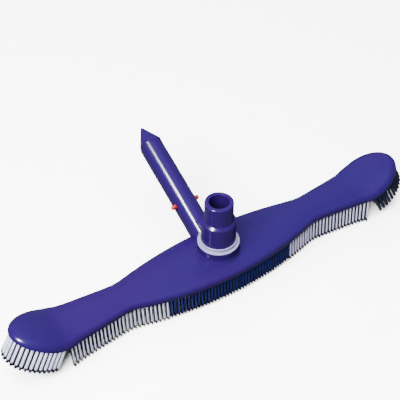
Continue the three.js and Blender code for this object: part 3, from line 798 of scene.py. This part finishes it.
def build_skirts():
    for number, (edge, sign) in enumerate(EDGES):
        def middle_chain(inset):
            half = edge_chain(0, SKIRT_CHANGE_X - 2.4 * MM, inset)
            return [(-x, y) for x, y in reversed(half)] + half[1:]

        skirt(f"blue_skirt_{edge}", f"middle_skirt_{edge}", 10 + number, sign, middle_chain,
              BLUE_PITCH, BLUE_SKIRT_LIFT, BLUE_BRISTLE, "blue_bristle")
        for side, facing in SIDES:
            def outer_chain(inset):
                half = edge_chain(SKIRT_CHANGE_X + 2 * MM, SKIRT_END_X - 1 * MM, inset)
                return [(facing * x, y) for x, y in half]

            skirt(f"white_bristles_{edge}_{side}", f"white_skirt_{edge}_{side}",
                  20 + 2 * number + facing, sign, outer_chain, WHITE_PITCH, 0, WHITE_BRISTLE,
                  "white_bristle")


INFILL_INSETS = [(11.2 + 4.6 * i) * MM for i in range(5)]
INFILL_PITCH = 4.6 * MM
INFILL_TUFT = 0.6 * MM
NECK_SCREW_X = BEND_X - 14 * MM
SCREW_ROOM = 5.4 * MM


def build_neck_cores():
    for side, facing in SIDES:
        brush = Brush(f"neck_tufts_{side}", 30 + facing)
        for inset in INFILL_INSETS:
            chain = [place for place in edge_chain(WAIST_X + 14 * MM, SKIRT_END_X - 5 * MM, inset)
                     if place[1] > 1.8 * MM]
            if len(chain) < 2:
                continue
            for x, y in evenly_along(chain, INFILL_PITCH):
                if math.hypot(x - NECK_SCREW_X, y) < SCREW_ROOM:
                    continue
                for edge in (-1, 1):
                    root = body_point(facing * x, edge * y, PLATE_BOTTOM)
                    brush.tuft(root, Vector((root.x, root.y, CORE_LIFT)), INFILL_TUFT)
        brush.build(BLUE_BRISTLE, "blue_bristle", f"neck_core_bristles_{side}")


SIN_TILT = math.sin(PADDLE_TILT)


def paddle_chain(start, inset):
    """The outline of a paddle from the bend, round its end and back, as (along, across)."""
    straight = edge_chain(start, PADDLE_X, inset)
    points = [((x - PADDLE_X) / COS_TILT, -y) for x, y in straight if y > 0]
    long, wide = PADDLE_HALF_LENGTH - inset, PADDLE_HALF_WIDTH - inset
    angles = [math.pi * (i / 60 - 0.5) for i in range(1, 60)]
    arc = [(long * math.cos(a), wide * math.sin(a)) for a in angles]
    return points + arc + [(u, -y) for u, y in reversed(points)]


def paddle_tuft(brush, facing, along, across, splay, depth, pitch, shade=1.0):
    """A tuft square to the tilted paddle, its tip pushed out along the outline's normal."""
    root = body_point(facing * (PADDLE_X + along * COS_TILT), across, PLATE_BOTTOM)
    away = Vector((max(0, along) / PADDLE_HALF_LENGTH ** 2, across / PADDLE_HALF_WIDTH ** 2))
    push = away.normalized() * splay
    u, v = along + push.x, across + push.y
    x = PADDLE_X + u * COS_TILT + depth * SIN_TILT
    z = RIM_Z + rim_height(PADDLE_X) + u * SIN_TILT - depth * COS_TILT
    brush.tuft(root, Vector((facing * x, HOSE_Y + v, z)), pitch, shade)


PADDLE_RIM_START = BEND_X + 1.5 * MM
PADDLE_CORE_START = BEND_X + 3 * MM
PADDLE_SPLAY = 1.5 * MM
PADDLE_PITCH = 5.3 * MM


# What each paddle's bristles look like, round its rim and inside it, and the rim's tuft size. The
# right paddle's are painted shade: dark copies of the bristles, for the shade on that end.
PAINTED_SHADE_LOOK = (PAINTED_SHADE_BRISTLE, "navy_bristle")
PADDLE_LOOKS = {
    "left": ((WHITE_BRISTLE, "white_bristle"), (BLUE_BRISTLE, "blue_bristle"), 0.62 * MM),
    "right": (PAINTED_SHADE_LOOK, PAINTED_SHADE_LOOK, 0.76 * MM)}


def build_paddle_brushes():
    for side, facing in SIDES:
        rim_look, core_look, rim_tuft = PADDLE_LOOKS[side]
        rim = Brush(f"paddle_rim_tufts_{side}", 40 + facing)
        # the inner rim row takes its painted shade from ROWS
        for row, (inset, _, _, shade, _) in enumerate(ROWS):
            start = PADDLE_RIM_START + row * PADDLE_PITCH / 4
            for along, across in evenly_along(paddle_chain(start, inset), PADDLE_PITCH):
                paddle_tuft(
                    rim, facing, along, across, PADDLE_SPLAY, PADDLE_BRISTLE_DEPTH, rim_tuft, shade)
        rim.build(*rim_look, f"end_rim_bristles_{side}")
        core = Brush(f"paddle_core_tufts_{side}", 50 + facing)
        for inset in INFILL_INSETS:
            for along, across in evenly_along(paddle_chain(PADDLE_CORE_START, inset), INFILL_PITCH):
                depth = PADDLE_BRISTLE_DEPTH - CORE_LIFT
                paddle_tuft(core, facing, along, across, 0, depth, INFILL_TUFT)
        core.build(*core_look, f"end_core_bristles_{side}")


# ---- CAD nodes that stay ---------------------------------------------------------------------
def finish_cad_nodes():
    finishes = {"plate": PLATE_BLUE, "holder": PLATE_BLUE, "seal": SEAL_BLACK, "washer": RING_WHITE}
    for name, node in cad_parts.items():
        for word, material in finishes.items():
            if word in name:
                node.data.materials.clear()
                node.data.materials.append(material)


# ---- Stage, light and camera -------------------------------------------------------------------
FLOOR_HALF = 12


def build_stage():
    half = FLOOR_HALF
    corners = [(-half, -half, 0), (half, -half, 0), (half, half, 0), (-half, half, 0)]
    floor = link("floor", mesh_from("floor", corners, [(0, 1, 2, 3)]))
    material, nodes, links, shader = new_material("pale_floor")
    place = nodes.new("ShaderNodeTexCoord").outputs["Object"]
    paper = noise(nodes, links, place, 40, 2)
    colour = ramp(nodes, links, paper.outputs["Fac"], [
        (0.3, (0.93, 0.93, 0.935)), (0.7, (0.95, 0.95, 0.955))])
    links.new(colour.outputs["Color"], shader.inputs["Base Color"])
    shader.inputs["Roughness"].default_value = 0.9
    floor.data.materials.append(material)
    floor.visible_diffuse = False
    floor.visible_glossy = False
    world = bpy.data.worlds.new("studio")
    world.use_nodes = True
    background = world.node_tree.nodes["Background"]
    background.inputs["Color"].default_value = (0.93, 0.95, 1, 1)
    background.inputs["Strength"].default_value = 0.3
    bpy.context.scene.world = world


# How far along a light path each light still counts. At 0 the highlight shows only on what the
# camera sees directly, and not in one blue wall mirrored by another.
HIGHLIGHT_BOUNCES = 0
SOFT_BOX_BOUNCES = 8


def area_light(name, azimuth, elevation, distance, size, power, glossy=False):
    """A soft box aimed at the hose boss. Azimuth 0 is in front (-Y) and 90 is on the +X side.

    A glossy one is seen in reflections only; the others light surfaces without being mirrored.
    """
    target = Vector((0, HOSE_Y, RIM_Z))
    a, e = math.radians(azimuth), math.radians(elevation)
    away = Vector((math.sin(a) * math.cos(e), -math.cos(a) * math.cos(e), math.sin(e)))
    data = bpy.data.lights.new(name, "AREA")
    data.shape = "RECTANGLE"
    data.size, data.size_y = size
    data.energy = power
    lamp = bpy.data.objects.new(name, data)
    lamp.location = target + away * distance
    lamp.rotation_euler = away.to_track_quat("Z", "Y").to_euler()
    lamp.visible_glossy = glossy
    lamp.visible_diffuse = not glossy
    data.cycles.max_bounces = HIGHLIGHT_BOUNCES if glossy else SOFT_BOX_BOUNCES
    bpy.context.scene.collection.objects.link(lamp)


def build_lights():
    area_light("highlight", -82, 49, 1.9, (0.3, 0.45), 180, True)
    area_light("left", -66, 48, 2.2, (1.5, 1.3), 420)
    area_light("overhead", -20, 82, 2.2, (1.8, 1.6), 180)
    area_light("rear", 158, 46, 2.4, (1.8, 1.2), 110)


CAMERA_AZIMUTH = math.radians(33.63)
CAMERA_ELEVATION = math.radians(42.94)
CAMERA_DISTANCE = 1160.76 * MM
CAMERA_ROLL = math.radians(-0.18)
AIM_RIGHT = -21.64 * MM
AIM_UP = 60.33 * MM
LENS = 88.50


def build_camera():
    """A camera at the front left of the body, looking down past the hose connector."""
    sin_a, cos_a = math.sin(CAMERA_AZIMUTH), math.cos(CAMERA_AZIMUTH)
    sin_e, cos_e = math.sin(CAMERA_ELEVATION), math.cos(CAMERA_ELEVATION)
    forward = Vector((sin_a * cos_e, cos_a * cos_e, -sin_e))
    right = Vector((cos_a, -sin_a, 0))
    up = right.cross(forward)
    place = Vector((0, HOSE_Y, RIM_Z)) + right * AIM_RIGHT + up * AIM_UP - forward * CAMERA_DISTANCE
    turned_right = right * math.cos(CAMERA_ROLL) - up * math.sin(CAMERA_ROLL)
    turned_up = right * math.sin(CAMERA_ROLL) + up * math.cos(CAMERA_ROLL)
    data = bpy.data.cameras.new("camera")
    data.lens = LENS
    data.sensor_width = 36
    data.clip_end = 20
    camera = bpy.data.objects.new("camera", data)
    matrix = Matrix((turned_right, turned_up, -forward)).transposed().to_4x4()
    camera.matrix_world = Matrix.Translation(place) @ matrix
    bpy.context.scene.collection.objects.link(camera)
    bpy.context.scene.camera = camera


build_camera()
build_stage()
build_lights()
build_shell()
build_handle()
build_connector()
build_ring()
build_clip()
build_screws()
build_skirts()
build_neck_cores()
build_paddle_brushes()
finish_cad_nodes()

bpy.context.view_layer.update()
